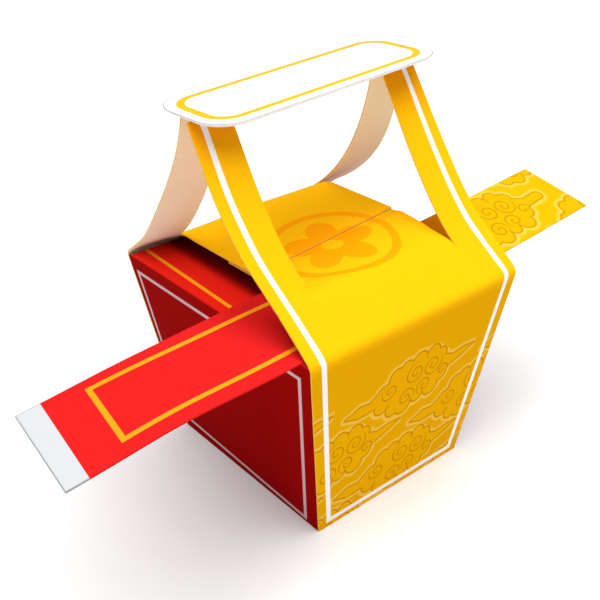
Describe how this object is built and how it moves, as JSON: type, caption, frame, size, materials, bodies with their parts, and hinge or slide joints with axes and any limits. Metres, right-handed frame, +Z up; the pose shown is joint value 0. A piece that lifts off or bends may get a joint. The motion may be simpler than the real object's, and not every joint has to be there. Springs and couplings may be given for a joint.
{
  "type": "noodle takeaway box",
  "caption": "Shut tapered card takeaway box with two yellow sheets that fold over the top into straps, a flat handle plate on the straps and a loose belt under the tongues.",
  "frame": {"origin": "middle of the flat base that the box stands on", "axes": "+Z up, +X along the belt and the top edges of the yellow walls, +Y from the near yellow wall to the far one"},
  "size_m": [0.3183, 0.1339, 0.1853],
  "materials": {
    "red_card": "satin printed",
    "yellow_card": "satin printed",
    "belt_card": "satin printed",
    "white_card": "satin"
  },
  "bodies": {
    "root": {"box_body": "red_card", "near_sheet": "yellow_card", "far_sheet": "yellow_card", "belt_strip": "belt_card", "handle_plate": "white_card", "handle_under_plate": "white_card"}
  },
  "joints": []
}
